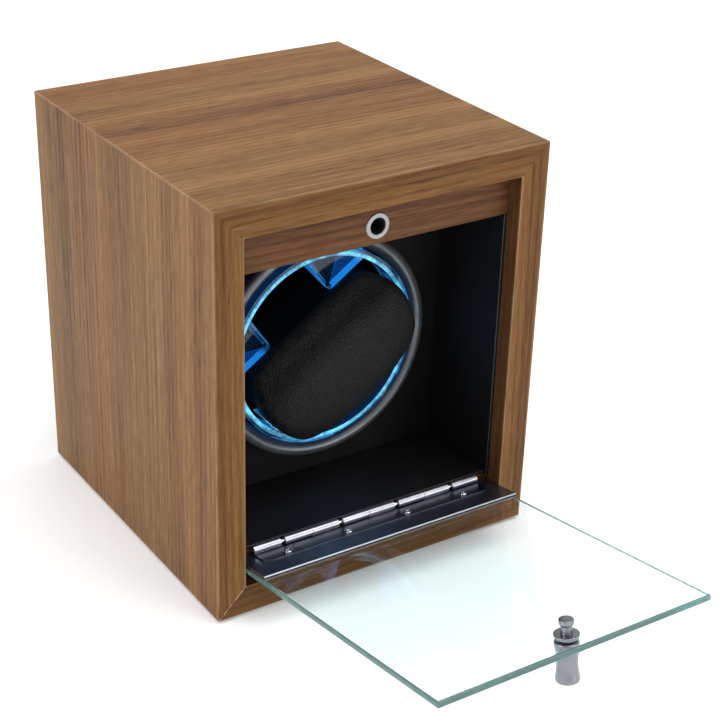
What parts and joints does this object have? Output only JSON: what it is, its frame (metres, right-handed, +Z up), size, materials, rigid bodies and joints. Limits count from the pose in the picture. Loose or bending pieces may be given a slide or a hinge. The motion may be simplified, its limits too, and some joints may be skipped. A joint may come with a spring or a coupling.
{
  "type": "watch winder box",
  "caption": "Mitred wooden box with a drop-down glass door on a hinged rail, and a belt-driven lit drum that holds a leather watch cushion.",
  "frame": {"origin": "centre of the cabinet's footprint, on the floor under the felt base", "axes": "+Z up, +Y from the door to the rear panel, +X to the right seen from the front"},
  "size_m": [0.155, 0.292, 0.1815],
  "materials": {
    "walnut_veneer": "satin",
    "black_board": "matt",
    "steel_screw": "bright",
    "black_rubber": "matt",
    "polished_nickel": "polished",
    "satin_nickel": "satin",
    "rail_aluminium": "satin",
    "grey_bezel": "satin",
    "black_plastic": "satin",
    "light_strip": "matt",
    "led": "gloss",
    "circuit_board": "satin",
    "bush_brass": "satin",
    "clear_acrylic": "clear, edge lit blue",
    "pane_glass": "clear",
    "cushion_leather": "fine grain",
    "cushion_foam": "foam",
    "base_felt": "felt"
  },
  "bodies": {
    "cabinet": {"left_side_panel": "walnut_veneer", "right_side_panel": "walnut_veneer", "top_panel": "walnut_veneer", "bottom_panel": "walnut_veneer", "rear_panel": "black_board", "rear_panel_screws": "steel_screw", "base_felt": "base_felt", "top_front_bar": "walnut_veneer", "bottom_front_bar": "walnut_veneer", "catch_socket": "satin_nickel", "catch_insert": "black_rubber", "lining_left": "black_board", "lining_right": "black_board", "lining_floor": "black_board", "lining_ceiling": "black_board", "baffle_board": "black_board", "bezel_ring": "grey_bezel", "light_strip": "light_strip", "leds": "led", "mechanism_board": "black_board", "bearing_housing": "black_plastic", "housing_screws": "steel_screw", "front_bush": "bush_brass", "rear_bush": "bush_brass", "gear_motor": "steel_screw", "motor_screws": "steel_screw", "drive_belt": "black_rubber", "control_board": "circuit_board", "board_standoffs": "steel_screw", "dial_switch": "black_plastic", "slide_switch": "black_plastic", "light_switch": "black_plastic", "dc_jack": "black_plastic", "jack_nut": "steel_screw", "motor_lead": "black_rubber", "light_lead": "black_rubber", "power_lead": "black_rubber", "hinge_body_leaf": "polished_nickel", "hinge_body_screws": "steel_screw", "hinge_pin": "polished_nickel"},
    "door": {"glass_pane": "pane_glass", "door_rail": "rail_aluminium", "hinge_door_leaf": "polished_nickel", "hinge_door_screws": "steel_screw", "knob_body": "satin_nickel", "knob_flange": "satin_nickel", "catch_plug": "satin_nickel"},
    "drum": {"drum_cup": "black_plastic", "holder_ring": "clear_acrylic", "drum_shaft": "steel_screw", "drum_pulley": "black_plastic", "pulley_circlip": "steel_screw"},
    "motor_rotor": {"motor_shaft": "steel_screw", "motor_pulley": "black_plastic"},
    "cushion": {"cushion_cover": "cushion_leather", "cushion_core": "cushion_foam"},
    "dial": {"program_dial": "black_plastic"},
    "slider": {"direction_slider": "black_plastic"},
    "button": {"light_button": "black_plastic"}
  },
  "joints": [
    {"name": "door_hinge", "type": "hinge", "parent": "cabinet", "child": "door", "pos_m": [0, -0.0722, 0.0252], "axis": [-1, 0, 0], "range_deg": [0, 80.5]},
    {"name": "drum_spin", "type": "hinge", "parent": "cabinet", "child": "drum", "pos_m": [0, 0, 0.0883], "axis": [0, 1, 0], "continuous": true},
    {"name": "motor_spin", "type": "hinge", "parent": "cabinet", "child": "motor_rotor", "pos_m": [0.038, 0, 0.036], "axis": [0, 1, 0], "continuous": true},
    {"name": "cushion_pull", "type": "slide", "parent": "drum", "child": "cushion", "axis": [0, -1, 0], "range_m": [0, 0.018]},
    {"name": "dial_turn", "type": "hinge", "parent": "cabinet", "child": "dial", "pos_m": [-0.024, 0, 0.064], "axis": [0, 1, 0], "range_deg": [0, 90]},
    {"name": "direction_slide", "type": "slide", "parent": "cabinet", "child": "slider", "axis": [1, 0, 0], "range_m": [-0.003, 0.003]},
    {"name": "light_press", "type": "slide", "parent": "cabinet", "child": "button", "axis": [0, -1, 0], "range_m": [0, 0.0015], "stiffness_N_per_m": 400, "springref_m": -0.001}
  ],
  "couplings": [
    {"joint": "motor_spin", "follows": "drum_spin", "ratio": 3}
  ]
}
